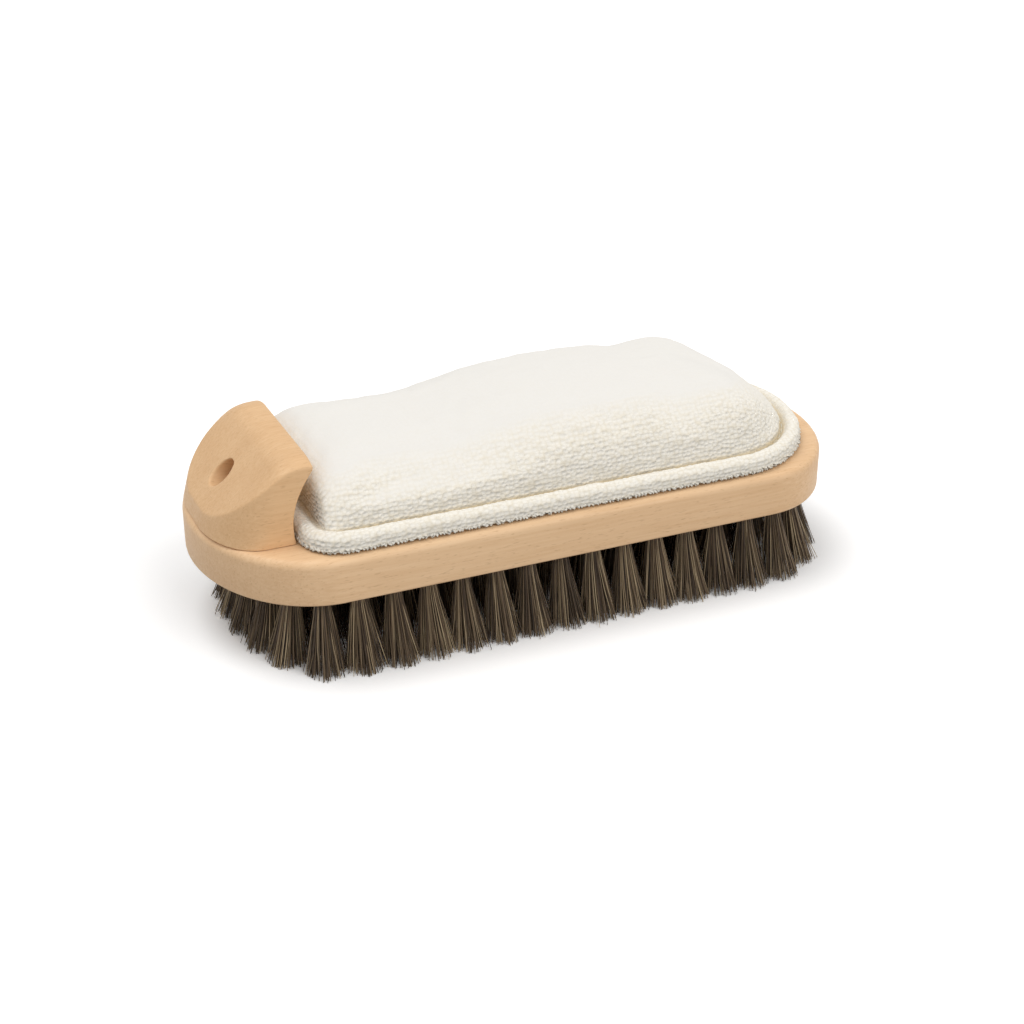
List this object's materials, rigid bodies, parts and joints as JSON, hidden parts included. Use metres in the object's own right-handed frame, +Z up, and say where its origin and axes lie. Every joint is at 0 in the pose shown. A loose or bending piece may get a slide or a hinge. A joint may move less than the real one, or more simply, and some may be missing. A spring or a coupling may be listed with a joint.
{
  "type": "laundry scrub brush",
  "caption": "Long beech brush block set with tufts of dark hair, with a hooked nose that has a hanging hole, and a terry pad on top that lifts off for wiping.",
  "frame": {"origin": "under the middle of the block, on the plane of the tuft tips", "axes": "+X along the block away from the nose, +Y across it, +Z up through the pad"},
  "size_m": [0.18, 0.0772, 0.0548],
  "materials": {
    "beech": "smooth sanded beech, oiled to a low sheen",
    "dark_hair": "dark brown horsehair with some paler hairs",
    "hook_tape": "woven tape with stiff hooks",
    "terry": "cream cotton terry with short loops",
    "filling": "soft wadding",
    "thread": "cotton sewing thread"
  },
  "bodies": {
    "brush": {"brush_body": "beech", "nose_grip": "beech", "nose_dowel_near": "beech", "nose_dowel_far": "beech", "hook_strip_near": "hook_tape", "hook_strip_far": "hook_tape", "edge_tuft_01": "dark_hair", "edge_tuft_02": "dark_hair", "edge_tuft_03": "dark_hair", "edge_tuft_04": "dark_hair", "edge_tuft_05": "dark_hair", "edge_tuft_06": "dark_hair", "edge_tuft_07": "dark_hair", "edge_tuft_08": "dark_hair", "edge_tuft_09": "dark_hair", "edge_tuft_10": "dark_hair", "edge_tuft_11": "dark_hair", "edge_tuft_12": "dark_hair", "edge_tuft_13": "dark_hair", "edge_tuft_14": "dark_hair", "edge_tuft_15": "dark_hair", "edge_tuft_16": "dark_hair", "edge_tuft_17": "dark_hair", "edge_tuft_18": "dark_hair", "edge_tuft_19": "dark_hair", "edge_tuft_20": "dark_hair", "edge_tuft_21": "dark_hair", "edge_tuft_22": "dark_hair", "edge_tuft_23": "dark_hair", "edge_tuft_24": "dark_hair", "edge_tuft_25": "dark_hair", "edge_tuft_26": "dark_hair", "edge_tuft_27": "dark_hair", "edge_tuft_28": "dark_hair", "edge_tuft_29": "dark_hair", "edge_tuft_30": "dark_hair", "edge_tuft_31": "dark_hair", "edge_tuft_32": "dark_hair", "edge_tuft_33": "dark_hair", "edge_tuft_34": "dark_hair", "edge_tuft_35": "dark_hair", "edge_tuft_36": "dark_hair", "edge_tuft_37": "dark_hair", "edge_tuft_38": "dark_hair", "edge_tuft_39": "dark_hair", "edge_tuft_40": "dark_hair", "edge_tuft_41": "dark_hair", "edge_tuft_42": "dark_hair", "edge_tuft_43": "dark_hair", "inner_tuft_row_1": "dark_hair", "inner_tuft_row_2": "dark_hair", "inner_tuft_row_3": "dark_hair", "inner_tuft_row_4": "dark_hair", "inner_tuft_row_5": "dark_hair"},
    "pad": {"pad_cover_top": "terry", "pad_cover_base": "terry", "pad_core": "filling", "pad_stitching": "thread"}
  },
  "joints": [
    {"name": "pad_lift", "type": "slide", "parent": "brush", "child": "pad", "axis": [0.7071, 0, 0.7071], "range_m": [0, 0.06]}
  ]
}
